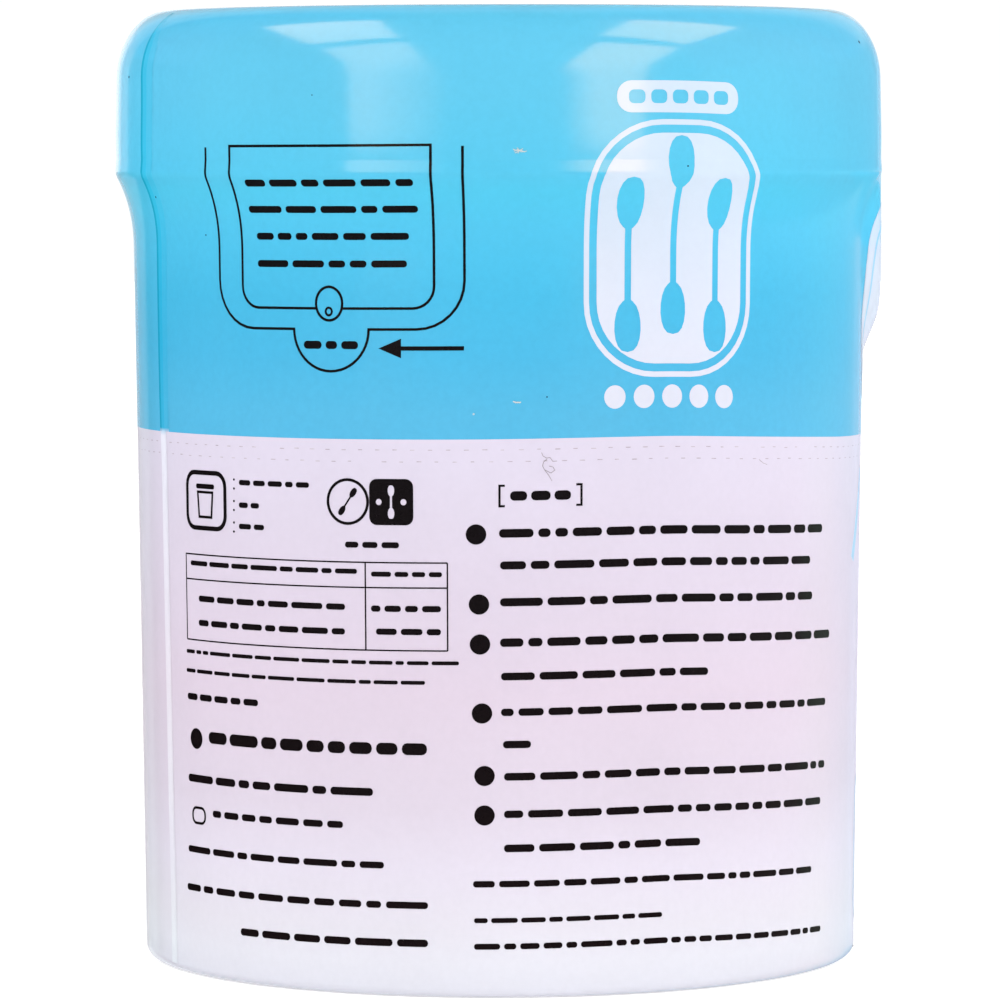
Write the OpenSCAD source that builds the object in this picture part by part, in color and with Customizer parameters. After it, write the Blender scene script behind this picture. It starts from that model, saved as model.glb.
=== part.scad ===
// Sealed round tub for paper-shaft cotton swabs.
// A drafted round container under a wider skirted lid, both wrapped in one
// tight shrunk film. The film is unbroken, so the pack is one closed solid.
// The label panel faces -Y. The lid's front flap lies under the film, to the
// right of the label and behind it. Origin: middle of the base ring. +Z is up.

/* [Overall] */
// Height from the base ring to the top of the lid
tub_h = 88; // [82:0.5:94]

/* [Container] */
// Outer radius of the wall at the base
foot_r = 33.25; // [31.5:0.05:35]
// Draft of the wall on each side, in degrees
wall_draft = 0.75; // [0.3:0.05:1.3]
// Rounding of the wall into the base ring
foot_round = 0.9; // [0.5:0.1:1.6]
// Width of the ring that the tub stands on
ring_w = 4.6; // [3:0.1:7]
// Depth of the recess inside the ring
recess_h = 0.9; // [0.4:0.1:1.6]

/* [Lid] */
// Height of the lid from its lower edge to its top
lid_h = 15.1; // [13:0.1:17]
// How far the skirt stands out from the wall
overhang = 1.6; // [1:0.05:2]
// How much narrower the skirt is at its top than at its lower edge
skirt_taper = 0.18; // [0:0.02:0.4]
// Width of the rounded top edge
round_w = 4.7; // [4:0.05:5.5]
// Height of the rounded top edge
round_h = 6.5; // [5:0.1:8]
// Distance from the film's edge in to the shallow dish in the lid's top
dish_in = 3.5; // [2:0.1:8]
// Depth of that dish
dish_h = 0.8; // [0.4:0.1:1.2]

/* [Front flap] */
// Direction of the flap's middle, in degrees from the label panel
flap_at = 135; // [120:1:150]
// Half of the angle that the flap takes up
flap_half = 48; // [40:1:55]
// How far the flap reaches below the skirt
flap_drop = 14.6; // [12:0.2:16]
// Width of the half-round push tab
tab_w = 17; // [14:0.5:20]
// How far the push tab reaches below the flap
tab_drop = 5.2; // [4:0.1:6]

/* [Film] */
// Height over which the film runs in below the skirt
bridge_h = 6.9; // [5:0.1:9]
// Height over which it runs in below the flap
flap_bridge_h = 3; // [2:0.1:5]
// Width of the film that laps onto the flat of the top
film_lap = 3.6; // [2:0.1:5]
// Thickness of the shrunk film where it ends
film_t = 0.08; // [0.05:0.01:0.15]

/* [Hidden] */
$fn = 180;

step_z = tub_h - lid_h;                       // lower edge of the lid
function wall_r(z) = foot_r + z * tan(wall_draft);
lid_r = wall_r(step_z) + overhang;            // radius of the skirt
ring_in = foot_r - foot_round - ring_w;       // inner radius of the base ring
film_hole_r = lid_r - skirt_taper - round_w - film_lap;     // radius of the hole the film leaves in the top
dish_r = film_hole_r - dish_in;               // outer radius of the dish
flap_z = step_z - flap_drop;                  // lower edge of the flap
tab_z = flap_z - tab_drop;                    // lowest point of the tab
cut_z = flap_z - flap_bridge_h;               // where the film meets the wall again
// the flap's cover stays a hair inside the skirt, so that the two never share a face
flap_r = lid_r - 0.04 - skirt_taper * 0.2;
// angle beside the flap over which the film runs in to the wall
film_lead = 8;
function polar(r, a) = [r * cos(a), r * sin(a)];

// points of a quarter of an ellipse, from the side (0 degrees) to the top
function quarter(cx, cz, a, b, n) =
    [for (i = [0 : n]) let (t = 90 * i / n) [cx + a * cos(t), cz + b * sin(t)]];
// points of the film's hollow run from radius r0 at z0 down to the wall at z1
function run_in(r0, z0, z1, n) =
    [for (i = [0 : n]) let (t = i / n, z = z0 + (z1 - z0) * t)
        [wall_r(z) + (r0 - wall_r(z0)) * pow(1 - t, 2.3), z]];
function rev(v) = [for (i = [len(v) - 1 : -1 : 0]) v[i]];

// container: base ring, recess, rounded foot and drafted wall
module container() {
    color([0.92, 0.88, 0.96])
    rotate_extrude()
    polygon(concat(
        [[0, recess_h], [ring_in - 0.5, recess_h], [ring_in, 0]],
        [for (i = [0 : 6]) let (t = 90 * i / 6)
            [foot_r - foot_round + foot_round * sin(t), foot_round - foot_round * cos(t)]],
        [[wall_r(step_z - bridge_h), step_z - bridge_h], [0, step_z - bridge_h]]
    ));
}

// lid: film run below the skirt, skirt, rounded edge, film's edge and dish
module lid() {
    color([0.40, 0.79, 0.94])
    rotate_extrude()
    polygon(concat(
        [[0, step_z - bridge_h]],
        rev(run_in(lid_r, step_z, step_z - bridge_h, 8)),
        quarter(lid_r - skirt_taper - round_w, tub_h - round_h, round_w, round_h, 9),
        [[film_hole_r, tub_h], [film_hole_r, tub_h - film_t],
         [dish_r, tub_h - film_t], [dish_r - 0.9, tub_h - dish_h], [0, tub_h - dish_h]]
    ));
}

// ring with the flap's outer form, from inside the skirt down to z1
module cover_ring(z0, z1) {
    rotate_extrude()
    polygon(concat(
        [[foot_r - 3, step_z + 2], [foot_r - 3, z1]],
        rev(run_in(flap_r, z0, z1, 6)),
        [[flap_r, step_z + 2]]
    ));
}

// the flap under the film: flush with the skirt, with the film drawn in beside it
module flap() {
    color([0.40, 0.79, 0.94])
    rotate([0, 0, flap_at - 90])
    intersection() {
        cover_ring(flap_z, cut_z);
        linear_extrude(height = tub_h)
        polygon(concat(
            [polar(10, -80)],
            [polar(wall_r(flap_z) - 0.9, -flap_half - film_lead)],
            [polar(flap_r, -flap_half)],
            [polar(80, -flap_half + 4)],
            [polar(80, flap_half - 4)],
            [polar(flap_r, flap_half)],
            [polar(wall_r(flap_z) - 0.9, flap_half + film_lead)],
            [polar(10, 80)]
        ));
    }
}

// the push tab: a half-round tongue below the flap's middle
module push_tab() {
    color([0.40, 0.79, 0.94])
    rotate([0, 0, flap_at - 90])
    intersection() {
        cover_ring(tab_z, tab_z - 3.2);
        translate([0, 0, flap_z + 1])
        rotate([0, 90, 0])
        cylinder(r = tab_w / 2 + 1.2, h = 60);
        translate([0, -30, tab_z - 3.2]) cube([60, 60, flap_z + 3 - tab_z]);
    }
}

module sealed_tub() {
    union() {
        container();
        lid();
        flap();
        push_tab();
    }
}

sealed_tub();
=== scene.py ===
"""Looks of the sealed cotton swab tub: shrink film, print, lid top and base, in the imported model's frame."""
import math

import bmesh
import bpy
import numpy as np
from mathutils import Matrix, Vector
from mathutils.geometry import delaunay_2d_cdt


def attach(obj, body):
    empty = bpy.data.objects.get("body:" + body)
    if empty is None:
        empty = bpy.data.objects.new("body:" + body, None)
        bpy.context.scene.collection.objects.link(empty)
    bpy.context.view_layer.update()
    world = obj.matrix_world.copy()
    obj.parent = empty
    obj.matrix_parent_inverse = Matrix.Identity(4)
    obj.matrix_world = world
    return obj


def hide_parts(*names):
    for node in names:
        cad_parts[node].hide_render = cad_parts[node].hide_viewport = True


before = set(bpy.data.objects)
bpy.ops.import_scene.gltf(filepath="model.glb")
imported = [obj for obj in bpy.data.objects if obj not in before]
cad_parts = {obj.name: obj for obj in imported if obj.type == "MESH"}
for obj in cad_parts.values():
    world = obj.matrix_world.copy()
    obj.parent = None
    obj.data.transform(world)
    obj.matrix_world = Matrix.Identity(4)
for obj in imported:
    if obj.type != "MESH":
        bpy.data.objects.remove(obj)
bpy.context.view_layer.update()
RNG = np.random.default_rng(7)
MM = 0.001

# ------------------------------------------------------------------ sizes, in millimetres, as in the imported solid
TOP_Z = 88.0
FOOT_R = 33.25
DRAFT = math.tan(math.radians(0.75))
STEP_Z = 72.9
LID_R = FOOT_R + STEP_Z * DRAFT + 1.6
TAPER = 0.18
ROUND_W, ROUND_H = 4.7, 6.5
RUN_H = 6.9
FOOT_ROUND = 0.9
RING_IN = 27.75
RECESS = 0.9
RIM_R = LID_R - TAPER - ROUND_W - 3.6
DISH_R = RIM_R - 3.5
FLAP_PHI = math.radians(135)
FLAP_HALF = math.radians(48)
FLAP_Z = 58.3
TAB_Z = 53.1
TAB_R = 8.5
FLAP_R = LID_R - 0.08
SKIN_IN = 0.03          # the film's face lies this far inside the solid, which leaves room for the print
FILM_T = 0.07
PRINT_UP = 0.018
PRINT_DOWN = 0.03
ARC = 34.0              # label coordinate u = ARC * phi


def wall_r(z):
    return FOOT_R + z * DRAFT


def raw_base_r(z):
    """Radius of the film's outer face away from the flap, for heights from the foot to the top."""
    z = np.asarray(z, float)
    w = wall_r(z)
    t = np.clip((STEP_Z - z) / RUN_H, 0, 1)
    run = w + (LID_R - wall_r(STEP_Z)) * (1 - t) ** 2.3
    skirt = LID_R - TAPER * np.clip((z - STEP_Z) / (TOP_Z - ROUND_H - STEP_Z), 0, 1)
    # a shallow hollow above the skirt's slightly thicker lower rim
    skirt = skirt - 0.075 * np.where(z > 74.25, np.clip((77.2 - z) / 2.95, 0, 1) ** 1.8, np.clip((z - 72.95) / 1.3, 0, 1))
    q = np.clip((z - (TOP_Z - ROUND_H)) / ROUND_H, 0, 1)
    top = LID_R - TAPER - ROUND_W + ROUND_W * np.sqrt(np.clip(1 - q * q, 0, 1))
    r = np.where(z < STEP_Z, run, np.where(z < TOP_Z - ROUND_H, skirt, top))
    f = np.clip((FOOT_ROUND - z) / FOOT_ROUND, 0, 1)
    return r - FOOT_ROUND * (1 - np.sqrt(np.clip(1 - f * f, 0, 1)))


def base_r(z):
    """The same, with the bend under the skirt softened over a third of a millimetre."""
    z = np.asarray(z, float)
    r = raw_base_r(z)
    near = np.abs(z - STEP_Z) < 0.9
    soft = sum(raw_base_r(z + d) for d in (-0.36, -0.24, -0.12, 0.0, 0.12, 0.24, 0.36)) / 7
    return np.where(near, soft, r)


def flap_cover(phi, z):
    """How much of the flap's height the film keeps at a place: 1 on the flap and its tab, 0 well away from them."""
    psi = (np.asarray(phi, float) - FLAP_PHI + math.pi) % (2 * math.pi) - math.pi
    uu = 34.9 * np.abs(psi)
    z = np.asarray(z, float)
    half, rc = 34.9 * FLAP_HALF, 7.0
    qx, qz = uu - (half - rc), (FLAP_Z + rc) - z
    sd = np.hypot(np.maximum(qx, 0), np.maximum(qz, 0)) + np.minimum(np.maximum(qx, qz), 0) - rc
    side = np.clip(qx / (np.abs(qx) + np.abs(qz) + 1e-6), 0, 1)
    reach = 3.4 + 2.4 * side
    st = np.hypot(uu, np.minimum(z - (TAB_Z + TAB_R), 0)) - TAB_R
    m1, m2 = 0.0, 0.0
    for d in (-0.6, -0.4, -0.2, 0.0, 0.2, 0.4, 0.6):        # the bend is softened over about a millimetre
        a = np.clip(1 - (sd + d + 0.9) / (reach + 0.9), 0, 1)
        b = np.clip(1 - (st + d + 0.7) / (3.4 + 0.7), 0, 1)
        m1 = m1 + a ** 1.9 * (1.9 - 0.9 * a) / 7
        m2 = m2 + b ** 1.9 * (1.9 - 0.9 * b) / 7
    return 1 - (1 - m1) * (1 - m2)


def film_r(phi, z):
    """Radius of the film's outer face."""
    z = np.asarray(z, float)
    b = base_r(z)
    w = wall_r(z)
    cover = flap_cover(phi, z) * (FLAP_R - w)
    h = b - w
    low = np.where(z < STEP_Z + 0.4, w + np.maximum(h, 0) + cover - np.maximum(h, 0) * cover / np.maximum(FLAP_R - w, 1e-3), b)
    low = np.where(z > STEP_Z - 0.5, np.maximum(np.minimum(low, LID_R), b), low)
    return np.where(z < STEP_Z + 0.4, low, b) - SKIN_IN


def film_point(phi, z, up=0.0):
    """Place and outward normal on the film, moved outward by up."""
    phi, z = np.asarray(phi, float), np.asarray(z, float)
    e, ez = 0.002, 0.04

    def p(a, h):
        r = film_r(a, h)
        return np.stack([r * np.sin(a), -r * np.cos(a), h + 0 * r], -1)

    n = np.cross(p(phi + e, z) - p(phi - e, z), p(phi, z + ez) - p(phi, z - ez))
    n /= np.linalg.norm(n, axis=-1, keepdims=True)
    return p(phi, z) + n * up, n


# ------------------------------------------------------------------ the photograph's camera
CAM_D, CAM_X, CAM_Z, CAM_F = 567.08, 0.0575, 76.57, 6059.1
CAM_PITCH, CAM_ROLL = math.radians(3.4583), 0.0019


def project(phi, z):
    r = film_r(phi, z)
    ca, sa = math.cos(CAM_PITCH), math.sin(CAM_PITCH)
    dy, dz, dx = CAM_D - r * np.cos(phi), z - CAM_Z, r * np.sin(phi) - CAM_X
    depth, up = dy * ca - dz * sa, dz * ca + dy * sa
    c, w = CAM_F * dx / depth, -CAM_F * up / depth
    cr, sr = math.cos(CAM_ROLL), math.sin(CAM_ROLL)
    return 500 + c * cr + w * sr, 500 - c * sr + w * cr


def hit(x, y):
    """Angle and height of the film's point that the camera sees at a place in its 1000 x 1000 frame."""
    x, y = np.asarray(x, float), np.asarray(y, float)
    phi = np.arcsin(np.clip((x - 499.4) / 366.0, -0.985, 0.985))
    z = (500 - y) / 10.68 + 42
    for _ in range(40):
        c, w = project(phi, z)
        c1, w1 = project(phi + 1e-4, z)
        c2, w2 = project(phi, z + 1e-3)
        a, b, d, e = (c1 - c) / 1e-4, (c2 - c) / 1e-3, (w1 - w) / 1e-4, (w2 - w) / 1e-3
        ex, ey = x - c, y - w
        det = a * e - b * d
        phi = phi + np.clip((ex * e - b * ey) / det, -0.15, 0.15)
        z = np.clip(z + np.clip((a * ey - d * ex) / det, -4, 4), 0.2, 87.6)
    return phi, z


# the print sits a little askew on the film, because the film shrank unevenly: (degrees, millimetres)
SKEW = [(-77, -0.22), (-50, -0.15), (-24, -0.10), (0, 0.0), (14, 0.10), (27, 0.12), (45, -0.30), (68, -0.88),
        (92, -1.15), (135, -1.25), (180, -1.0), (215, -0.65), (250, -0.35), (283, -0.22)]


def skew(phi):
    """Height that the uneven shrinking adds to the print at an angle."""
    d = (np.degrees(np.asarray(phi, float)) + 77) % 360 - 77
    xs, ys = np.array([p[0] for p in SKEW], float), np.array([p[1] for p in SKEW], float)
    grid = np.arange(-77, 284, 1.0)
    lin = np.interp(grid, xs, ys)
    k = np.hanning(17)
    k /= k.sum()
    soft = np.convolve(np.concatenate([lin[-9:-1], lin, lin[1:9]]), k, "same")[8:-8]
    return np.interp(d, grid, soft)


BORDER_Z = 49.70        # where the blue ends and the lilac begins


def label(x, y):
    """Label coordinates (u, height before skew) of a place in the camera's frame."""
    phi, z = hit(x, y)
    return phi * ARC, z - skew(phi)


# ------------------------------------------------------------------ mesh helpers
def new_object(name, verts, faces, materials, face_mats=None, normals=None, smooth=True, sharp=None):
    mesh = bpy.data.meshes.new(name)
    mesh.from_pydata((np.asarray(verts, float) * MM).tolist(), [], [tuple(int(i) for i in f) for f in faces])
    for m in materials:
        mesh.materials.append(m)
    if face_mats is not None:
        mesh.polygons.foreach_set("material_index", np.asarray(face_mats, np.int32))
    mesh.polygons.foreach_set("use_smooth", np.full(len(faces), bool(smooth)))
    mesh.update()
    if sharp is not None:
        at = mesh.attributes.new("sharp_edge", "BOOLEAN", "EDGE")
        ev = np.zeros(len(mesh.edges) * 2, np.int32)
        mesh.edges.foreach_get("vertices", ev)
        ev = np.sort(ev.reshape(-1, 2), 1)
        keys = set(map(tuple, sharp))
        at.data.foreach_set("value", np.array([tuple(e) in keys for e in ev.tolist()], bool))
    if normals is not None:
        mesh.normals_split_custom_set_from_vertices(np.asarray(normals, float).tolist())
    mesh.validate()
    ob = bpy.data.objects.new(name, mesh)
    bpy.context.scene.collection.objects.link(ob)
    return ob


def inside(poly_list, pts):
    """Even-odd test of points against closed outlines."""
    odd = np.zeros(len(pts), bool)
    px, py = pts[:, 0][:, None], pts[:, 1][:, None]
    for poly in poly_list:
        a = np.asarray(poly, float)
        b = np.roll(a, -1, 0)
        x1, y1, x2, y2 = a[:, 0][None], a[:, 1][None], b[:, 0][None], b[:, 1][None]
        cross = (y1 > py) != (y2 > py)
        with np.errstate(divide="ignore", invalid="ignore"):
            xi = x1 + (py - y1) * (x2 - x1) / (y2 - y1)
        odd ^= (cross & (px < xi)).sum(1) % 2 == 1
    return odd


def edge_distance(poly_list, pts):
    best = np.full(len(pts), 1e9)
    for poly in poly_list:
        a = np.asarray(poly, float)
        b = np.roll(a, -1, 0)
        d = b - a
        l2 = np.maximum((d ** 2).sum(1), 1e-12)
        t = np.clip(((pts[:, None] - a[None]) * d[None]).sum(-1) / l2[None], 0, 1)
        q = a[None] + t[..., None] * d[None]
        best = np.minimum(best, np.sqrt(((pts[:, None] - q) ** 2).sum(-1)).min(1))
    return best


def densify(poly, step):
    a = np.asarray(poly, float)
    out = []
    for i in range(len(a)):
        p, q = a[i], a[(i + 1) % len(a)]
        n = max(1, int(math.ceil(np.hypot(*(q - p)) / step)))
        for k in range(n):
            out.append(p + (q - p) * k / n)
    return np.array(out)


def densify_bend(poly):
    """Adds points to an outline where it runs over the bend under the skirt."""
    out = []
    for i in range(len(poly)):
        p, q = poly[i], poly[(i + 1) % len(poly)]
        near = min(abs(p[1] - STEP_Z), abs(q[1] - STEP_Z)) < 2.3 or (p[1] - STEP_Z) * (q[1] - STEP_Z) < 0
        n = max(1, int(math.ceil(abs(q[1] - p[1]) / 0.13))) if near else 1
        for k in range(n):
            out.append(p + (q - p) * k / n)
    return np.array(out)


class Print:
    """One ink: many small shapes in label coordinates, each a thin closed shell on the film."""

    def __init__(self):
        self.v, self.n, self.f, self.count = [], [], [], 0

    def shape(self, outlines, step=1.0, up=PRINT_UP, raw_z=False):
        outlines = [densify_bend(densify(o, step)) for o in outlines]
        pts = np.concatenate(outlines)
        lo, hi = pts.min(0), pts.max(0)
        edges, k = [], 0
        for o in outlines:
            edges += [(k + i, k + (i + 1) % len(o)) for i in range(len(o))]
            k += len(o)
        gx, gy = np.arange(lo[0] + step * 0.5, hi[0], step), np.arange(lo[1] + step * 0.5, hi[1], step)
        if lo[1] < STEP_Z + 2.3 and hi[1] > STEP_Z - 1.6:
            gy = np.concatenate([gy[(gy < STEP_Z - 1.7) | (gy > STEP_Z + 2.4)], np.arange(max(lo[1], STEP_Z - 1.6), min(hi[1], STEP_Z + 2.3), 0.14)])
        if len(gx) and len(gy):
            g = np.stack(np.meshgrid(gx, gy), -1).reshape(-1, 2)
            g = g[inside(outlines, g)]
            if len(g):
                g = g[edge_distance(outlines, g) > 0.09 + 0.26 * step * (np.abs(g[:, 1] - STEP_Z) > 2.35)]
            pts = np.concatenate([pts, g])
        co, _, faces, _, _, _ = delaunay_2d_cdt([Vector(p) for p in pts.tolist()], edges, [], 0, 1e-6)
        co = np.array([list(c) for c in co], float)
        faces = np.array([list(f) for f in faces], int)
        mid = co[faces].mean(1)
        faces = faces[inside(outlines, mid)]
        a = co[faces]
        area = (a[:, 1, 0] - a[:, 0, 0]) * (a[:, 2, 1] - a[:, 0, 1]) - (a[:, 2, 0] - a[:, 0, 0]) * (a[:, 1, 1] - a[:, 0, 1])
        faces = faces[np.abs(area) > 1e-7]
        area = area[np.abs(area) > 1e-7]
        faces[area < 0] = faces[area < 0][:, ::-1]
        used = np.unique(faces)
        remap = np.full(len(co), -1)
        remap[used] = np.arange(len(used))
        co, faces = co[used], remap[faces]
        phi = co[:, 0] / ARC
        z = co[:, 1] + (0 if raw_z else skew(phi))
        top, nor = film_point(phi, z, up)
        bottom = top - nor * (up + PRINT_DOWN)
        n = len(co)
        directed = {}
        for t in faces.tolist():
            for i in range(3):
                directed[(t[i], t[(i + 1) % 3])] = 1
        sides = []
        for (i, j) in directed:
            if (j, i) not in directed:
                sides += [(j, i, i + n), (j, i + n, j + n)]
        base = self.count
        self.v.append(np.concatenate([top, bottom]))
        self.n.append(np.concatenate([nor, nor]))
        self.f.append(faces + base)
        self.f.append(faces[:, ::-1] + n + base)
        if sides:
            self.f.append(np.array(sides) + base)
        self.count += 2 * n

    def build(self, name, material):
        ob = new_object(name, np.concatenate(self.v), np.concatenate(self.f), [material], normals=np.concatenate(self.n))
        return ob


def ellipse(cx, cy, rx, ry, n=32, a0=0.0):
    t = np.arange(n) * 2 * math.pi / n + a0
    return np.stack([cx + rx * np.cos(t), cy + ry * np.sin(t)], -1)


def round_box(x0, y0, x1, y1, r, n=5):
    r = min(r, (x1 - x0) / 2 - 1e-4, (y1 - y0) / 2 - 1e-4)
    out = []
    for cx, cy, a in ((x1 - r, y0 + r, -90), (x1 - r, y1 - r, 0), (x0 + r, y1 - r, 90), (x0 + r, y0 + r, 180)):
        for k in range(n + 1):
            t = math.radians(a + 90 * k / n)
            out.append((cx + r * math.cos(t), cy + r * math.sin(t)))
    return np.array(out)


def offset_line(pts, w, closed):
    """Both sides of a line of width w, with mitred joints."""
    p = np.asarray(pts, float)
    n = len(p)
    left, right = [], []
    for i in range(n):
        a = p[i - 1] if (i > 0 or closed) else None
        b = p[(i + 1) % n] if (i < n - 1 or closed) else None
        d1 = (p[i] - a) / np.hypot(*(p[i] - a)) if a is not None else None
        d2 = (b - p[i]) / np.hypot(*(b - p[i])) if b is not None else None
        d1 = d2 if d1 is None else d1
        d2 = d1 if d2 is None else d2
        n1, n2 = np.array([-d1[1], d1[0]]), np.array([-d2[1], d2[0]])
        m = n1 + n2
        m /= max(np.hypot(*m), 1e-6)
        k = w / 2 / max(float(m @ n1), 0.35)
        left.append(p[i] + m * k)
        right.append(p[i] - m * k)
    return np.array(left), np.array(right)


def stroke(pts, w, closed=False):
    """Outlines of a line: one outline, or an outer and an inner one where the line is closed."""
    left, right = offset_line(pts, w, closed)
    if closed:
        return [left, right]
    return [np.concatenate([left, right[::-1]])]


def swab(cx, cy, length, angle, shaft=0.5, tip_w=1.7, tip_l=4.2, n=9):
    """Outline of a cotton swab: a thin shaft with an egg-shaped tip at each end."""
    half = length / 2
    side = []
    for s in (-1, 1):
        row = []
        for k in range(n + 1):
            t = k / n
            a = math.pi * t
            along = -half + tip_l * (1 - math.cos(a)) / 2
            wide = tip_w / 2 * math.sin(a) ** 0.8 * (1.08 - 0.16 * t)
            if t > 0.5:
                wide = max(wide, shaft / 2)
            row.append((along, s * wide))
        row[0] = (-half, 0.0)
        mirror = [(-x, y) for x, y in row[::-1]]
        side.append(row + mirror)
    pts = np.array(side[1] + side[0][::-1][1:-1])
    ca, sa = math.cos(math.radians(angle)), math.sin(math.radians(angle))
    return np.stack([cx + pts[:, 0] * ca - pts[:, 1] * sa, cy + pts[:, 0] * sa + pts[:, 1] * ca], -1)


# ------------------------------------------------------------------ materials
def srgb(r, g, b):
    def f(c):
        c /= 255
        return c / 12.92 if c <= 0.04045 else ((c + 0.055) / 1.055) ** 2.4
    return (f(r), f(g), f(b), 1.0)


def material(name):
    m = bpy.data.materials.new(name)
    m.use_nodes = True
    nt = m.node_tree
    return m, nt, nt.nodes["Principled BSDF"]


def node(nt, kind, **inputs):
    n = nt.nodes.new(kind)
    for k, v in inputs.items():
        if k in n.inputs:
            n.inputs[k].default_value = v
        else:
            setattr(n, k, v)
    return n


def coords(nt):
    return nt.nodes.new("ShaderNodeTexCoord").outputs["Object"]


def noise(nt, vec, scale, detail=3.0, rough=0.5, stretch=None):
    if stretch is not None:
        mp = nt.nodes.new("ShaderNodeMapping")
        mp.inputs["Scale"].default_value = stretch
        nt.links.new(vec, mp.inputs["Vector"])
        vec = mp.outputs["Vector"]
    n = nt.nodes.new("ShaderNodeTexNoise")
    n.inputs["Scale"].default_value = scale
    n.inputs["Detail"].default_value = detail
    n.inputs["Roughness"].default_value = rough
    nt.links.new(vec, n.inputs["Vector"])
    return n.outputs["Fac"]


def maprange(nt, value, a, b, c, d):
    n = nt.nodes.new("ShaderNodeMapRange")
    for k, v in zip(("From Min", "From Max", "To Min", "To Max"), (a, b, c, d)):
        n.inputs[k].default_value = v
    nt.links.new(value, n.inputs["Value"])
    return n.outputs["Result"]


def ramp(nt, value, stops):
    n = nt.nodes.new("ShaderNodeValToRGB")
    n.color_ramp.interpolation = "LINEAR"
    el = n.color_ramp.elements
    el[0].position, el[0].color = stops[0][0], stops[0][1]
    el[1].position, el[1].color = stops[-1][0], stops[-1][1]
    for p, c in stops[1:-1]:
        e = el.new(p)
        e.color = c
    nt.links.new(value, n.inputs["Fac"])
    return n.outputs["Color"]


def scale_colour(nt, colour, factor):
    """Colour times a grey factor."""
    n = nt.nodes.new("ShaderNodeVectorMath")
    n.operation = "SCALE"
    nt.links.new(colour, n.inputs[0])
    nt.links.new(factor, n.inputs["Scale"])
    return n.outputs["Vector"]


def film_relief(nt, vec):
    """The tight film's relief: long shallow waves and a fine skin."""
    long_wave = noise(nt, vec, 55.0, 2.0, 0.45, (1.0, 1.0, 0.55))
    fine = noise(nt, vec, 900.0, 2.0, 0.5)
    b1 = node(nt, "ShaderNodeBump", Strength=0.11, Distance=0.0006)
    nt.links.new(long_wave, b1.inputs["Height"])
    b2 = node(nt, "ShaderNodeBump", Strength=0.05, Distance=0.00006)
    nt.links.new(fine, b2.inputs["Height"])
    nt.links.new(b1.outputs["Normal"], b2.inputs["Normal"])
    return b2.outputs["Normal"]


def film_material(name, stops, mottle=0.02, rough=(0.10, 0.16), level=0.5):
    """Glossy printed film. Stops are (height in mm, linear colour)."""
    m, nt, bs = material(name)
    vec = coords(nt)
    sep = nt.nodes.new("ShaderNodeSeparateXYZ")
    nt.links.new(vec, sep.inputs[0])
    z0, z1 = stops[0][0], stops[-1][0]
    h = maprange(nt, sep.outputs["Z"], z0 * MM, z1 * MM, 0.0, 1.0)
    colour = ramp(nt, h, [((z - z0) / (z1 - z0), c) for z, c in stops])
    dots = noise(nt, vec, 1500.0, 2.0, 0.6)
    cloud = noise(nt, vec, 70.0, 3.0, 0.5)
    k1 = maprange(nt, dots, 0.3, 0.7, 1 - mottle, 1 + mottle)
    k2 = maprange(nt, cloud, 0.3, 0.7, 0.985, 1.015)
    mul = nt.nodes.new("ShaderNodeMath")
    mul.operation = "MULTIPLY"
    nt.links.new(k1, mul.inputs[0])
    nt.links.new(k2, mul.inputs[1])
    nt.links.new(scale_colour(nt, colour, mul.outputs[0]), bs.inputs["Base Color"])
    nt.links.new(maprange(nt, noise(nt, vec, 160.0, 4.0, 0.6), 0.3, 0.75, rough[0], rough[1]), bs.inputs["Roughness"])
    bs.inputs["IOR"].default_value = 1.56
    bs.inputs["Specular IOR Level"].default_value = level
    nt.links.new(film_relief(nt, vec), bs.inputs["Normal"])
    return m


def lin(r, g, b):
    return (r, g, b, 1.0)


# The blue's colours by height are partly its print and partly painted light: they are lighter from the run-in under the
# skirt up over the lid and its top rounding, where light falls from above.
BLUE_PRINT_AND_LIGHT_STOPS = [
    (46.0, lin(0.073, 0.368, 0.586)), (52.0, lin(0.069, 0.365, 0.577)), (57.0, lin(0.053, 0.358, 0.576)),
    (62.0, lin(0.048, 0.366, 0.579)), (68.0, lin(0.059, 0.405, 0.617)), (71.5, lin(0.062, 0.426, 0.620)),
    (73.4, lin(0.071, 0.416, 0.610)), (80.0, lin(0.085, 0.411, 0.597)), (85.0, lin(0.088, 0.411, 0.598)), (88.0, lin(0.088, 0.440, 0.646)),
]
LILAC_STOPS = [
    (0.0, lin(0.625, 0.632, 0.705)), (3.0, lin(0.648, 0.648, 0.712)), (6.0, lin(0.638, 0.618, 0.684)),
    (11.4, lin(0.626, 0.584, 0.674)), (17.0, lin(0.584, 0.523, 0.611)), (27.0, lin(0.578, 0.497, 0.590)),
    (36.0, lin(0.562, 0.499, 0.596)), (42.0, lin(0.556, 0.504, 0.602)), (47.7, lin(0.562, 0.518, 0.622)), (50.5, lin(0.562, 0.518, 0.622)),
]
film_blue = film_material("film_blue", BLUE_PRINT_AND_LIGHT_STOPS, 0.022)
film_lilac = film_material("film_lilac", LILAC_STOPS, 0.012)
ink_pale = film_material("print_pale", [(40.0, lin(0.565, 0.572, 0.655)), (56.0, lin(0.550, 0.566, 0.655)), (64.0, lin(0.512, 0.558, 0.655)), (73.0, lin(0.478, 0.560, 0.660)), (88.0, lin(0.468, 0.560, 0.660))], 0.010)
ink_sky = film_material("print_sky", [(0.0, lin(0.340, 0.530, 0.690)), (88.0, lin(0.260, 0.500, 0.690))], 0.012)
ink_dark = film_material("print_dark", [(0.0, lin(0.0065, 0.0035, 0.0040)), (88.0, lin(0.0040, 0.0045, 0.0055))], 0.10, level=0.14)
ink_grey = film_material("perforation", [(0.0, lin(0.400, 0.355, 0.400)), (88.0, lin(0.400, 0.355, 0.400))], 0.25)


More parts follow.
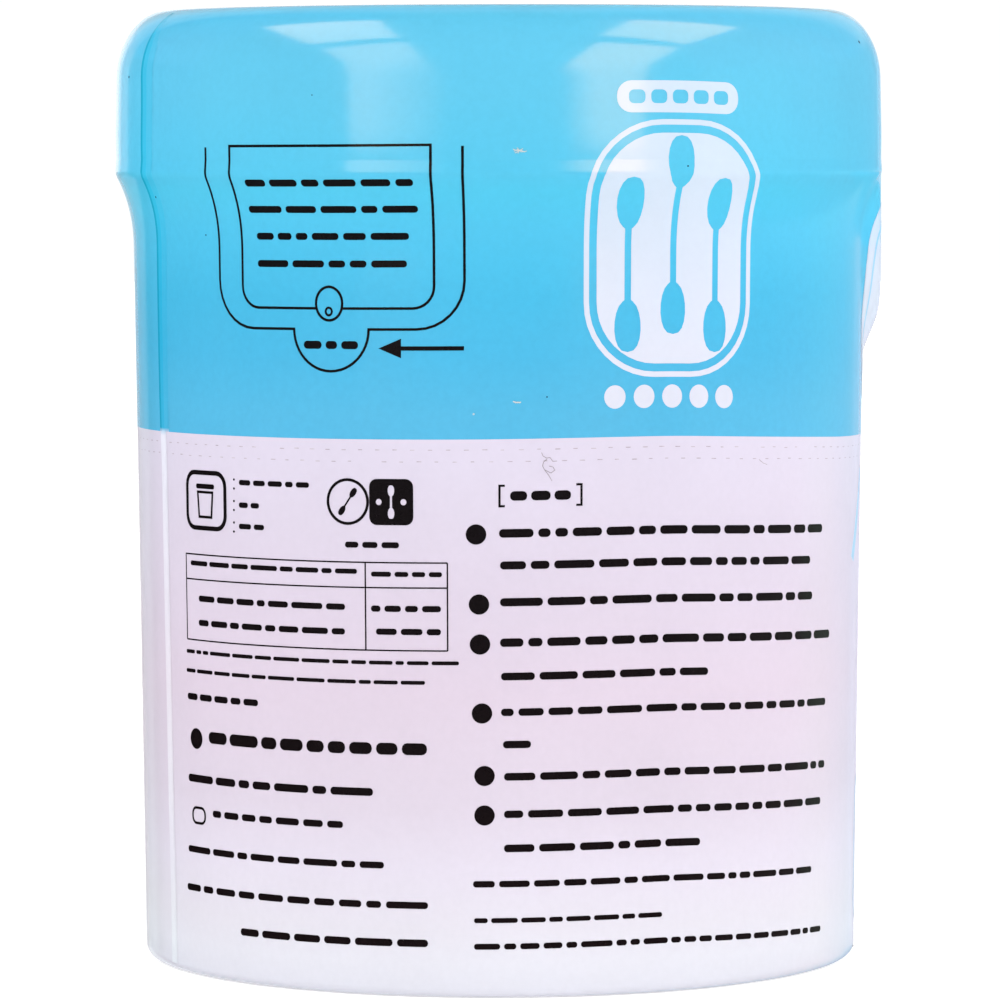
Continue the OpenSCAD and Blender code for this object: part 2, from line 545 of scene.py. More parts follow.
def plastic_material(name, base, rough, flow_scale):
    """Moulded white plastic: faint flow marks, fine grain and small scuffs."""
    m, nt, bs = material(name)
    vec = coords(nt)
    cloud = noise(nt, vec, flow_scale, 4.0, 0.55, (1.0, 1.0, 0.2))
    k = maprange(nt, cloud, 0.25, 0.75, 0.965, 1.02)
    rgb = nt.nodes.new("ShaderNodeRGB")
    rgb.outputs[0].default_value = base
    nt.links.new(scale_colour(nt, rgb.outputs[0], k), bs.inputs["Base Color"])
    nt.links.new(maprange(nt, noise(nt, vec, 240.0, 5.0, 0.65), 0.3, 0.75, rough - 0.06, rough + 0.08), bs.inputs["Roughness"])
    fine = noise(nt, vec, 1600.0, 3.0, 0.6)
    b = node(nt, "ShaderNodeBump", Strength=0.16, Distance=0.00008)
    nt.links.new(fine, b.inputs["Height"])
    nt.links.new(b.outputs["Normal"], bs.inputs["Normal"])
    bs.inputs["IOR"].default_value = 1.49
    bs.inputs["Subsurface Weight"].default_value = 0.12
    bs.inputs["Subsurface Radius"].default_value = (0.0012, 0.0011, 0.0010)
    bs.inputs["Subsurface Scale"].default_value = 1.0
    return m


white_lid = plastic_material("white_plastic", lin(0.72, 0.72, 0.71), 0.36, 90.0)

# ------------------------------------------------------------------ the film
N_TH = 400
th = np.arange(N_TH) * 2 * math.pi / N_TH


def wave(seed, orders, amp):
    """Smooth closed waviness round the tub."""
    g = np.random.default_rng(seed)
    w = np.zeros(N_TH)
    for k in orders:
        w += g.normal() * np.cos(k * th + g.uniform(0, 2 * math.pi)) / k ** 0.35
    return amp * w / max(np.abs(w).max(), 1e-9)


rim_top = RIM_R + 0.25 + wave(3, (2, 3, 5, 7, 11, 16, 23), 0.75)
rim_base = 24.6 + wave(5, (2, 3, 4, 7, 10, 15, 21, 30), 0.95)
pucker_top = wave(11, (19, 27, 34, 43, 52), 1.0)
pucker_base = wave(13, (17, 24, 33, 41, 55), 1.0)
flat_r = LID_R - TAPER - ROUND_W

rows = []                # each row: radius, height, and the material above it (0 blue, 1 lilac)


def row(r, z, mat):
    rows.append((np.broadcast_to(np.asarray(r, float), (N_TH,)).copy(), np.broadcast_to(np.asarray(z, float), (N_TH,)).copy(), mat))


for t in (0.0, 0.04, 0.1, 0.2, 0.32, 0.46, 0.62, 0.8, 0.93):
    r = rim_top + (flat_r - rim_top) * t
    dip = 0.05 * (1 - t) ** 1.5 * (1 + pucker_top) * 0.5 * min(1, t * 12 + 0.25)
    row(r - SKIN_IN * t, TOP_Z - dip, 0)
for k in range(0, 21):
    a = math.radians(90 - 90 * k / 20)
    row(flat_r + ROUND_W * math.cos(a) - SKIN_IN, TOP_Z - ROUND_H + ROUND_H * math.sin(a), 0)
wall_rows = list(np.linspace(81.0, 77.6, 5)) + list(np.arange(77.2, 74.5, -0.35)) + [74.35, 74.25, 74.15, 73.9, 73.6, 73.4, 73.22, 73.06, 72.92, 72.78, 72.62, 72.45, 72.25, 72.0]
wall_rows += list(np.arange(71.6, 66.0, -0.45)) + list(np.arange(65.6, 62.4, -0.6)) + list(np.arange(62.1, 50.6, -0.36))
for z in wall_rows:
    row(film_r(th, z), z, 0)
border = BORDER_Z + skew(th)
row(film_r(th, border + 0.45), border + 0.45, 0)
row(film_r(th, border), border, 0)
row(film_r(th, border - 0.45), border - 0.45, 1)
for z in list(np.arange(47.4, 3.0, -2.6)) + [2.6, 1.7, 1.2, 0.9]:
    row(film_r(th, z), z, 1)
for k in range(1, 8):
    a = math.radians(90 * k / 7)
    row(FOOT_R - FOOT_ROUND + FOOT_ROUND * math.cos(a) - SKIN_IN * math.cos(a), FOOT_ROUND - FOOT_ROUND * math.sin(a), 1)
for t in (0.2, 0.5, 0.8, 1.0):
    row(FOOT_R - FOOT_ROUND + (RING_IN - (FOOT_R - FOOT_ROUND)) * t, 0.0, 1)
for t in (0.25, 0.5, 0.75, 1.0):
    row(RING_IN - 0.5 * (t ** 0.8), RECESS * t ** 1.3 - 0.02 * t, 1)
for t in (0.3, 0.6, 0.85, 1.0):
    r = (RING_IN - 0.5) + (rim_base - (RING_IN - 0.5)) * t
    row(r, RECESS - 0.03 - 0.10 * t * (1 + pucker_base) * 0.5, 1)

R = np.array([a[0] for a in rows])
Z = np.array([a[1] for a in rows])
outer = np.stack([R * np.sin(th), -R * np.cos(th), Z], -1)
# outward normals of the grid
dth = np.roll(outer, -1, 1) - np.roll(outer, 1, 1)
dz = np.empty_like(outer)
dz[1:-1] = outer[:-2] - outer[2:]
dz[0], dz[-1] = outer[0] - outer[1], outer[-2] - outer[-1]
grid_n = np.cross(dth, dz)
grid_n /= np.maximum(np.linalg.norm(grid_n, axis=-1, keepdims=True), 1e-9)
keep = sorted(set([0, len(rows) - 1] + list(range(2, len(rows) - 2, 3))))
inner = outer[keep] - grid_n[keep] * FILM_T

verts = np.concatenate([outer.reshape(-1, 3), inner.reshape(-1, 3)])
faces, mats, sharp = [], [], []
nr, ni = len(rows), len(keep)
off = nr * N_TH
for i in range(nr - 1):
    for j in range(N_TH):
        k = (j + 1) % N_TH
        faces.append((i * N_TH + j, (i + 1) * N_TH + j, (i + 1) * N_TH + k, i * N_TH + k))
        mats.append(rows[i + 1][2])
for i in range(ni - 1):
    for j in range(N_TH):
        k = (j + 1) % N_TH
        faces.append((off + i * N_TH + j, off + i * N_TH + k, off + (i + 1) * N_TH + k, off + (i + 1) * N_TH + j))
        mats.append(rows[keep[i + 1]][2])
for j in range(N_TH):
    k = (j + 1) % N_TH
    a, b = j, k
    faces.append((a, b, off + b, off + a))
    mats.append(0)
    sharp.append(tuple(sorted((a, b))))
    a, b = (nr - 1) * N_TH + j, (nr - 1) * N_TH + k
    c, d = off + (ni - 1) * N_TH + j, off + (ni - 1) * N_TH + k
    faces.append((a, c, d, b))
    mats.append(1)
    sharp.append(tuple(sorted((a, b))))
film = new_object("shrink_film", verts, faces, [film_blue, film_lilac], mats, sharp=sharp)


# ------------------------------------------------------------------ lid top and base, seen inside the film's open ends
def lathe(name, profile, mat, n=192, closed=True):
    """A turned closed solid from a profile of (radius, height), which starts and ends on the axis."""
    pts = np.array(profile, float)
    ang = np.arange(n) * 2 * math.pi / n
    v, f, index = [], [], []
    for r, z in pts:
        if r < 1e-6:
            index.append([len(v)] * n)
            v.append((0, 0, z))
        else:
            index.append(list(range(len(v), len(v) + n)))
            v += [(r * math.sin(a), -r * math.cos(a), z) for a in ang]
    for i in range(len(pts) - 1):
        for j in range(n):
            k = (j + 1) % n
            q = [index[i][j], index[i + 1][j], index[i + 1][k], index[i][k]]
            u = []
            for x in q:
                if x not in u:
                    u.append(x)
            if len(u) > 2:
                f.append(tuple(u))
    ob = new_object(name, v, f, [mat])
    return ob


def arc_pts(cx, cz, r, a0, a1, n=6):
    return [(cx + r * math.cos(math.radians(a0 + (a1 - a0) * k / n)), cz + r * math.sin(math.radians(a0 + (a1 - a0) * k / n))) for k in range(n + 1)]


land = TOP_Z - 0.16
floor_z = TOP_Z - 0.80
lid_profile = [(0.0, floor_z + 0.10), (0.75, floor_z + 0.10), (0.95, floor_z + 0.06), (1.02, floor_z - 0.02), (1.10, floor_z - 0.08)]
lid_profile += [(1.7, floor_z - 0.08), (1.85, floor_z - 0.03), (2.0, floor_z)]
lid_profile += [(8.0, floor_z), (15.0, floor_z), (DISH_R - 1.35, floor_z)]
lid_profile += arc_pts(DISH_R - 1.35, floor_z + 0.45, 0.45, -90, -32, 6)
lid_profile += arc_pts(DISH_R - 0.28, land - 0.30, 0.30, 142, 90, 6)
lid_profile += [(DISH_R + 1.2, land), (DISH_R + 3.0, land), (30.2, land), (30.5, land - 0.5), (30.5, 84.0), (0.0, 84.0)]
lid_top = lathe("lid_top", lid_profile[::1], white_lid)
base_z = RECESS + 0.05
base_profile = [(0.0, 3.0), (29.5, 3.0), (29.5, 1.6), (27.6, base_z), (RING_IN - 3.2, base_z), (22.3, base_z), (22.0, base_z - 0.12), (21.5, base_z - 0.12),
                (21.2, base_z), (12.0, base_z), (3.4, base_z), (3.1, base_z + 0.25), (2.9, base_z + 0.32), (1.0, base_z + 0.32), (0.8, base_z + 0.1), (0.6, base_z - 0.02), (0.0, base_z - 0.05)]
base_plate = lathe("base_plate", base_profile, white_lid)
for ob in (lid_top, base_plate):
    bm = bmesh.new()
    bm.from_mesh(ob.data)
    bmesh.ops.recalc_face_normals(bm, faces=bm.faces)
    bm.to_mesh(ob.data)
    bm.free()
    for e in ob.data.edges:
        pass
    ob.data.set_sharp_from_angle(angle=math.radians(50))

# ------------------------------------------------------------------ print
dark, pale, sky, perf = Print(), Print(), Print(), Print()


def row_height(x, y):
    return float(label(x, y)[1])


def bars(ink, x0, x1, y, height_px, thick_px, seed=1, bar_span=(0.75, 2.7), gap=0.27, at=None, slope=0.0):
    """A line of plain rounded bars. x0 and x1 are its ends, y its middle at x = at."""
    g = np.random.default_rng(seed)
    xm = at if at is not None else (x0 + x1) / 2
    mid_u, zc = (float(v) for v in label(xm, y))
    u0, u1 = float(label(x0, y)[0]), float(label(x1, y)[0])
    h, t = height_px / 10.7, 1.18 * thick_px / 10.7
    lengths, total = [], 0.0
    while total < u1 - u0:
        lengths.append(g.uniform(*bar_span) * h)
        total += lengths[-1] + gap * h
    fit = (u1 - u0 - gap * h * (len(lengths) - 1)) / sum(lengths)
    u = u0
    for w in lengths:
        w *= fit
        zz = zc + slope * (u + w / 2 - mid_u)
        ink.shape([round_box(u, zz - t / 2, u + w, zz + t / 2, t * 0.45, 3)], step=1.2)
        u += w + gap * h


def line_px(ink, pts_px, w_px):
    """A printed line through places of the camera's frame."""
    p = np.array([[float(c) for c in label(x, y)] for x, y in pts_px])
    ink.shape(stroke(densify_open(p, 0.7), w_px / 10.7), step=0.7)


def densify_open(p, step):
    out = [p[0]]
    for a, b in zip(p[:-1], p[1:]):
        n = max(1, int(math.ceil(np.hypot(*(b - a)) / step)))
        out += [a + (b - a) * k / n for k in range(1, n + 1)]
    return np.array(out)


def rad(d):
    return math.radians(d) * ARC


# opening diagram on the blue: plain lines, a latch and an arrow
def zl(y, deg):
    """Label height of a frame row at an angle, found on the film."""
    phi = math.radians(deg)
    lo, hi = 1.0, 87.0
    for _ in range(40):
        mid = (lo + hi) / 2
        if project(phi, mid)[1] > y:
            lo = mid
        else:
            hi = mid
    return (lo + hi) / 2 - float(skew(phi))


def corner(cx, cy, r, a0, a1, n=8):
    return [(cx + r * math.cos(math.radians(a0 + (a1 - a0) * k / n)), cy + r * math.sin(math.radians(a0 + (a1 - a0) * k / n))) for k in range(n + 1)]


LW = 2.5 / 10.7
top_o, bot_o = zl(147, -30), zl(329.0, -30)
top_i, bot_i = zl(145.8, -30), zl(308.2, -30)
uo0, uo1, ui0, ui1 = rad(-47.3), rad(-5.1), rad(-42.25), rad(-9.65)
tab0, tab1 = float(label(294.2, 329)[0]), float(label(368.6, 329)[0])
tab_low = zl(371.2, -27)
rc_o, rc_i = 4.3, 1.95
tab_mid, tab_half = (tab0 + tab1) / 2, (tab1 - tab0) / 2
outer_line = [(uo0, top_o)] + corner(uo0 + rc_o, bot_o + rc_o, rc_o, 180, 270) + [(tab0, bot_o)]
outer_right = [(tab1, bot_o)] + corner(uo1 - rc_o, bot_o + rc_o, rc_o, 270, 360) + [(uo1, top_o)]
tab_line = [(tab_mid + tab_half * math.cos(math.radians(a)), bot_o - (bot_o - tab_low) * -math.sin(math.radians(a)) * 1.0) for a in np.linspace(180, 360, 25)]
full_outer = outer_line[:-1] + tab_line + outer_right[1:]
dark.shape(stroke(densify_open(np.array(full_outer), 0.6), LW), step=0.6)
hx, hz = (float(v) for v in label(329, 303.6))
ORX, ORZ = 1.31, 1.49
cut = ORX * math.sqrt(max(0.0, 1 - ((bot_i - hz) / ORZ) ** 2))
inner_line = [(hx - cut, bot_i)] + corner(ui0 + rc_i, bot_i + rc_i, rc_i, 270, 180) + [(ui0, top_i), (ui1, top_i)]
inner_line += corner(ui1 - rc_i, bot_i + rc_i, rc_i, 360, 270) + [(hx + cut, bot_i)]
dark.shape(stroke(densify_open(np.array(inner_line), 0.6), LW), step=0.6)
dark.shape(stroke(ellipse(hx, hz, ORX, ORZ, 36), LW, closed=True), step=0.6)
dark.shape(stroke(ellipse(hx - 0.03, hz - 0.70, 0.31, 0.34, 16), LW * 0.85, closed=True), step=0.6)
ax0, az0 = (float(v) for v in label(378.5, 348.5))
ax1 = float(label(401, 348.5)[0])
ax2 = float(label(464, 348.5)[0])
dark.shape([np.array([(ax0, az0), (ax1, az0 - 0.86), (ax1, az0 + 0.86)])], step=0.8)
dark.shape([np.array([(ax1 - 0.3, az0 - 0.19), (ax2, az0 - 0.19), (ax2, az0 + 0.19), (ax1 - 0.3, az0 + 0.19)])], step=0.8, up=PRINT_UP + 0.003)
for k, (x0, x1, y) in enumerate(((245, 413, 183.0), (249, 418, 209.5), (257, 409, 236.5), (258, 407, 264.0))):
    bars(dark, x0, x1, y, 18, 5.6, 20 + k)
bars(dark, 304, 358, 345.0, 17, 6.4, 31, (0.9, 1.6))

# badge on the blue: a tall rounded panel with upright swabs
bu0, bu1 = float(label(584, 250)[0]), float(label(750, 250)[0])
bz0, bz1 = zl(374, 27), zl(122, 27)
bc = (bu0 + bu1) / 2
pale.shape(stroke(densify(round_box(bu0 + 0.22, bz0, bu1 - 0.22, bz1, 6.4, 10), 0.8), 0.48, closed=True), step=0.7)
panel = round_box(bu0 + 1.15, bz0 + 0.95, bu1 - 1.15, bz1 - 0.95, 5.5, 10)
cz_ = (bz0 + bz1) / 2
icons = [swab(bc - 4.4, cz_ - 1.4, 15.5, 90, 0.62, 2.5, 4.6), swab(bc, cz_ + 1.2, 17.6, 90, 0.62, 2.5, 4.6), swab(bc + 4.4, cz_ - 1.4, 15.5, 90, 0.62, 2.5, 4.6)]
pale.shape([densify(panel, 0.8)] + icons, step=0.7)
cap_u0, cap_u1 = float(label(617, 98)[0]), float(label(738, 98)[0])
cap_z0, cap_z1 = zl(112.5, 27), zl(80.5, 27)
cap_seg = (cap_u1 - cap_u0 - 1.6) / 5
cap_holes = [round_box(cap_u0 + 0.8 + cap_seg * i + 0.26, cap_z0 + 0.8, cap_u0 + 0.8 + cap_seg * (i + 1) - 0.26, cap_z1 - 0.8, 0.45, 4) for i in range(5)]
pale.shape([densify(round_box(cap_u0, cap_z0, cap_u1, cap_z1, 1.3, 6), 0.8)] + cap_holes, step=0.7)
cap2_u0, cap2_u1 = float(label(600, 396)[0]), float(label(736, 396)[0])
seg = (cap2_u1 - cap2_u0) / 5
for i in range(5):
    cu = cap2_u0 + seg * (i + 0.5)
    pale.shape([ellipse(cu, zl(396, 27), 1.0, 1.04, 28)], step=0.8)

# marks below: a container outline, a ring and a solid tile with a swab
q0u, q0z = (float(v) for v in label(187, 530))
q1u, q1z = (float(v) for v in label(226, 470))
q0z, q1z = zl(531, -50), zl(471, -50)
dark.shape(stroke(round_box(q0u + 0.2, q0z + 0.2, q1u - 0.2, q1z - 0.2, 1.2, 5), 0.42, closed=True), step=0.8)
mu, mz = (q0u + q1u) / 2, (q0z + q1z) / 2
dark.shape(stroke(np.array([(mu - 1.15, mz + 0.75), (mu - 0.95, mz - 1.5), (mu + 0.95, mz - 1.5), (mu + 1.15, mz + 0.75)]), 0.24, closed=True), step=0.8)
dark.shape([round_box(mu - 1.4, mz + 1.05, mu + 1.4, mz + 1.5, 0.2, 3)], step=0.8)
ru, rz = (float(v) for v in label(347.5, 501.5))
rz = zl(501.5, -24)
dark.shape(stroke(ellipse(ru, rz, 1.95, 1.95, 40), 0.26, closed=True), step=0.7)
dark.shape([swab(ru, rz, 2.9, 55, 0.16, 0.55, 0.95, 7)], step=0.8)
tu = float(label(391, 501)[0])
tile = round_box(tu - 2.05, rz - 2.05, tu + 2.05, rz + 2.05, 0.7, 5)
dark.shape([tile, swab(tu, rz, 3.0, 90, 0.2, 0.62, 1.0, 7), ellipse(tu - 1.15, rz, 0.28, 0.28, 14), ellipse(tu + 1.15, rz, 0.28, 0.28, 14)], step=0.8)

for k, (x0, x1, y) in enumerate(((239, 309, 484), (239, 259, 505.5), (239, 264, 527))):
    bars(dark, x0, x1, y, 14, 4.4, 40 + k, (0.7, 1.5))
    for dy in (-4.5, 4.5):
        du, dz_ = (float(v) for v in label(234, y + dy))
        dark.shape([ellipse(du, dz_, 0.11, 0.11, 10)], step=1.0)
bars(dark, 345, 399, 545, 15, 4.8, 44, (0.9, 1.8))

# table
table_l, table_r = float(label(187, 600)[0]), float(label(447.5, 600)[0])
tz1, tz0, th_ = 38.78, 30.98, 36.5
div = float(label(365.5, 600)[0])
LT = 0.13
for a, b in (((table_l, tz1), (table_r, tz1)), ((table_l, tz0), (table_r, tz0)), ((table_l, th_), (table_r, th_ + 0.06))):
    dark.shape(stroke(densify_open(np.array([a, b]), 1.2), LT), step=1.2)
for uu in (table_l, div, table_r):
    dark.shape(stroke(densify_open(np.array([(uu, tz0), (uu, tz1)]), 1.5), LT), step=1.5, up=PRINT_UP + 0.003)
bars(dark, 191, 357, 568.5, 13, 4.0, 50, at=274)
bars(dark, 371, 442, 574.5, 13, 4.0, 51, (0.8, 1.6))
bars(dark, 199, 345, 604.0, 15, 5.0, 52, at=274)
bars(dark, 371, 441, 609, 15, 5.0, 53, (0.8, 1.6))
bars(dark, 199, 345, 628.5, 15, 5.0, 54, at=274)
bars(dark, 376, 441, 632, 15, 5.0, 55, (0.8, 1.6))

# left column below the table
bars(dark, 187, 459, 660.0, 10.5, 3.1, 60, (0.8, 3.2), at=302)
bars(dark, 187, 425, 679.5, 10.5, 3.1, 61, (0.8, 3.2), at=302)
bars(dark, 188, 258, 700.0, 15.5, 5.4, 62, (0.8, 1.8))
bu, bz = (float(v) for v in label(196.5, 738.5))
dark.shape([ellipse(bu, bz, 1.02, 0.95, 26)], step=0.8)
bars(dark, 209, 427, 746.5, 20, 9.6, 63, (0.8, 2.2), 0.22, at=322)
bars(dark, 189, 373, 787.5, 17.5, 6.4, 64, at=282)
bu, bz = (float(v) for v in label(199, 815.5))
dark.shape(stroke(round_box(bu - 1.05, bz - 0.7, bu + 1.05, bz + 0.7, 0.6, 5), 0.24, closed=True), step=0.8)
bars(dark, 213, 343, 821.0, 18, 5.6, 65, (0.7, 1.6), at=282)
bars(dark, 189, 384, 860.5, 17, 5.4, 66, at=292)
bars(dark, 188, 428, 900.5, 19, 5.6, 67, at=304)
bars(dark, 241, 428, 940.0, 17, 6.0, 68, at=334)

# right column: bracketed heading, bullets and lines
hz0, hz1 = zl(505.5, 7), zl(485, 7)
for x, s in ((499.5, 1), (581.5, -1)):
    uu = float(label(x, 495)[0])
    dark.shape(stroke(densify_open(np.array([(uu + s * 0.48, hz1), (uu, hz1), (uu, hz0), (uu + s * 0.48, hz0)]), 0.8), 0.2), step=0.8)
bars(dark, 510, 571, 495.5, 18.5, 7.6, 70, (0.8, 1.2), 0.2)
for x, y in ((476, 534.5), (479, 604.5), (480, 644.5), (482, 713.5), (484.5, 776), (484.5, 815.5)):
    uu, zz = (float(v) for v in label(x, y))
    dark.shape([ellipse(uu, zz, 0.92, 0.90, 30)], step=0.8)
LINES = [(499, 822, 531.0, 16.5, 6.9), (500, 810, 563.0, 16.5, 6.5), (500, 812, 599.7, 16.5, 6.6), (500, 829, 640.0, 16.5, 6.8), (501, 708, 673.8, 16.5, 6.2),
         (501, 825, 709.5, 16.5, 6.0), (503, 531, 744.5, 16.5, 6.0), (504, 824, 773.8, 16.5, 6.2), (504, 820, 811.2, 16.5, 6.0), (504, 700, 845.2, 16.5, 6.2),
         (473, 811, 880.7, 15.0, 5.2), (474, 662, 917.0, 12.0, 4.0), (474, 820, 943.0, 14.0, 4.8)]
for k, (x0, x1, y, hpx, tpx) in enumerate(LINES):
    bars(dark, x0, x1, y, hpx, tpx, 80 + k, at=612 if x1 > 620 else (x0 + x1) / 2)

# perforations: two rows of tiny slits right round, just below the blue
for rowi, dz_ in enumerate((-0.93, -1.97)):
    g = np.random.default_rng(90 + rowi)
    u = rad(-180) + 0.6 * rowi
    while u < rad(180) - 0.6:
        w = 0.44 + g.uniform(-0.12, 0.10)
        if g.uniform() > 0.02:
            zz = BORDER_Z + dz_ + g.normal() * 0.015
            perf.shape([round_box(u, zz - 0.038, u + w, zz + 0.038, 0.034, 2)], step=0.8, up=0.008)
        u += 1.62

# front of the film: a wide pale panel with swabs over the flap, rays and a framed line field below
fc = rad(135)
oz = 62.0
FRONT_UP = 0.036
holes = [swab(fc, oz, 24, 20, 0.9, 3.4, 6.0, 12)]
for side in (-1, 1):
    holes += [ellipse(fc + side * k, oz, 1.25, 1.25, 28) for k in (16.0, 20.0, 24.0)]
pale.shape([densify(round_box(rad(81.6), oz - 9.6, rad(188.4), oz + 9.6, 7.0, 14), 0.42)] + holes, step=0.42, up=FRONT_UP)
sky.shape([swab(fc, oz, 24, -20, 0.9, 3.4, 6.0, 12)], step=0.42, up=FRONT_UP + 0.016)
sky.shape(stroke(densify(round_box(rad(81.6) + 1.7, oz - 7.9, rad(188.4) - 1.7, oz + 7.9, 5.4, 12), 0.42), 0.38, closed=True), step=0.42, up=FRONT_UP + 0.016)
RAYS = []
for k in range(9):
    f = (k - 4) / 4
    u_mid = fc + f * rad(56)
    ang = 90 + f * 29
    RAYS.append((u_mid, 42.3, 9.2, ang))
for u_mid, zc, ln, ang in RAYS:
    a = math.radians(ang)
    d = np.array([math.cos(a), math.sin(a)])
    nrm = np.array([-d[1], d[0]])
    m = np.array([u_mid, zc])
    sky.shape([np.array([m - d * ln / 2 - nrm * 0.55, m + d * ln / 2 - nrm * 0.55, m + d * ln / 2 + nrm * 0.55, m - d * ln / 2 + nrm * 0.55])], step=0.9)
f0, f1 = rad(81.5), rad(188.5)
sky.shape(stroke(densify(round_box(f0, 4.6, f1, 17.6, 2.2, 6), 0.9), 0.5, closed=True), step=0.9)
for k, (zc, frac) in enumerate(((14.2, 0.82), (10.9, 0.70), (7.8, 0.5))):
    w = (f1 - f0) * frac
    u = fc - w / 2
    g = np.random.default_rng(120 + k)
    while u < fc + w / 2 - 2:
        ln = min(g.uniform(4, 10), fc + w / 2 - u)
        sky.shape([round_box(u, zc - 0.55, u + ln, zc + 0.55, 0.5, 4)], step=1.1)
        u += ln + 1.3

# the film's lap seam at the label's left: a doubled band, coloured with a painted shadow line along its edge on the
# blue and a painted highlight streak on the lilac
SEAM_PX = [(160, 24), (151, 38), (144.5, 52), (142.4, 66), (142, 100), (141.6, 140), (141.2, 168), (148, 190), (153, 206), (156, 224), (157.5, 250),
           (158.2, 300), (159.2, 360), (160.6, 420), (162.3, 470), (163.6, 540), (165.2, 620), (167.0, 700), (169.0, 800), (171.2, 880), (172.2, 940)]
seam_at = [tuple(float(c) for c in hit(x, y)) for x, y in SEAM_PX]
seam_z, seam_u = np.array([a[1] for a in seam_at])[::-1], np.array([a[0] for a in seam_at])[::-1] * ARC
SEAM_BORDER = BORDER_Z + float(skew(seam_u[7] / ARC))


def seam_edge(z, shift=0.0):
    """Label coordinate of the seam's edge at a height, softened over a few millimetres."""
    return sum(np.interp(np.asarray(z) + d, seam_z, seam_u) for d in (-2.0, -1.0, 0.0, 1.0, 2.0)) / 5 + shift


def seam_strip(ink, z0, z1, a0, a1, b0, b1, up):
    """A strip beside the seam's edge: from a0 to b0 of it at z0, and from a1 to b1 at z1."""
    zs = np.linspace(z0, z1, max(2, int((z1 - z0) / 0.45)))
    t = (zs - z0) / (z1 - z0)
    left = np.stack([seam_edge(zs) + a0 + (a1 - a0) * t, zs], -1)
    right = np.stack([seam_edge(zs) + b0 + (b1 - b0) * t, zs], -1)
    ink.shape([np.concatenate([right, left[::-1]])], step=0.42, up=up, raw_z=True)


# The first of these strips carries painted shade on the blue and a painted highlight streak on the lilac, the second a
# softer painted shade on the blue, and the third the painted shadow line along the seam's edge on the blue.
seam, seam_soft, seam_shadow_line = Print(), Print(), Print()
seam_strip(seam, 0.7, SEAM_BORDER, 0.0, 0.0, 1.15, 1.2, 0.026)
seam_strip(seam, SEAM_BORDER, 84.6, 0.0, 0.0, 0.95, 1.15, 0.026)
seam_strip(seam, 84.6, 87.5, 0.0, 0.1, 1.15, 0.16, 0.026)
seam_strip(seam_soft, SEAM_BORDER, 84.6, 0.9, 1.1, 1.9, 2.4, 0.020)
seam_strip(seam_soft, 84.6, 87.5, 1.1, 0.16, 2.4, 0.26, 0.020)
seam_strip(seam_shadow_line, SEAM_BORDER, 84.6, -0.12, -0.16, 0.26, 0.28, 0.030)
seam_strip(seam_shadow_line, 84.6, 87.6, -0.16, -0.03, 0.28, 0.06, 0.030)

# specks and lint, as photographed
for x, y, r in ((859, 42, 0.14), (865, 300, 0.12), (129, 77, 0.10), (156, 197, 0.10), (547, 397, 0.07), (688, 166, 0.08), (744, 533, 0.08), (206, 235, 0.07), (312, 95, 0.06), (854, 953, 0.14)):
    uu, zz = (float(v) for v in label(x, y))
    dark.shape([ellipse(uu, zz, r, r * 0.9, 9, r * 9)], step=1.0, up=0.03)
lint = Print()
for pts, w in ((((513, 149), (516, 150.5), (520, 150), (525, 152)), 0.07), (((515, 153), (519, 151), (523, 148.5)), 0.06), (((514, 151.5), (518, 149), (521, 152), (527, 151)), 0.05),
               (((517, 147.5), (519, 150), (518, 153.5)), 0.05), (((513, 401.5), (517, 402.6), (521, 402.2)), 0.09), (((515, 403.0), (518, 401.8), (520, 403.2)), 0.05), (((473, 413.5), (474.5, 414.5)), 0.10), (((473, 415), (474.5, 413.6)), 0.07)):
    p = np.array([[float(c) for c in label(x, y)] for x, y in pts])
    lint.shape(stroke(densify_open(p, 0.3), w), step=0.5, up=0.05)
hair = Print()
for pts in (((541.5, 452.5), (543, 456), (546.5, 458), (550, 457.5), (553, 461.5), (557, 461)), ((547, 459), (543.5, 462), (542.5, 466), (545, 470.5), (548.5, 475), (552, 481)), ((549, 466), (553, 467), (555, 470), (551, 473), (545, 470)),
            ((759, 459.5), (763, 463), (767, 464.5))):
    p = np.array([[float(c) for c in label(x, y)] for x, y in pts])
    hair.shape(stroke(densify_open(p, 0.25), 0.045), step=0.5, up=0.03)

lint_mat = film_material("lint", [(0.0, lin(0.50, 0.52, 0.50)), (88.0, lin(0.50, 0.52, 0.50))], 0.1, (0.6, 0.8))
hair_mat = film_material("fibre", [(0.0, lin(0.26, 0.23, 0.25)), (88.0, lin(0.26, 0.23, 0.25))], 0.2, (0.5, 0.7))


def seam_shade_and_highlight_stops(blue, lilac):
    """The film's colours times factors for the blue and the lilac: factors below one paint shade, factors above one
    paint a highlight.
    """
    low = [(z, lin(*(c[i] * (1 + (lilac[i] - 1) * (0.45 if z < 12 else 1.0)) for i in range(3)))) for z, c in LILAC_STOPS if z < SEAM_BORDER - 1]
    low.append((SEAM_BORDER - 0.03, lin(*(LILAC_STOPS[-1][1][i] * lilac[i] for i in range(3)))))
    high = [(z, lin(*(c[i] * blue[i] for i in range(3)))) for z, c in BLUE_PRINT_AND_LIGHT_STOPS if z > SEAM_BORDER + 1]
    return low + [(SEAM_BORDER + 0.03, lin(*(BLUE_PRINT_AND_LIGHT_STOPS[1][1][i] * blue[i] for i in range(3))))] + high


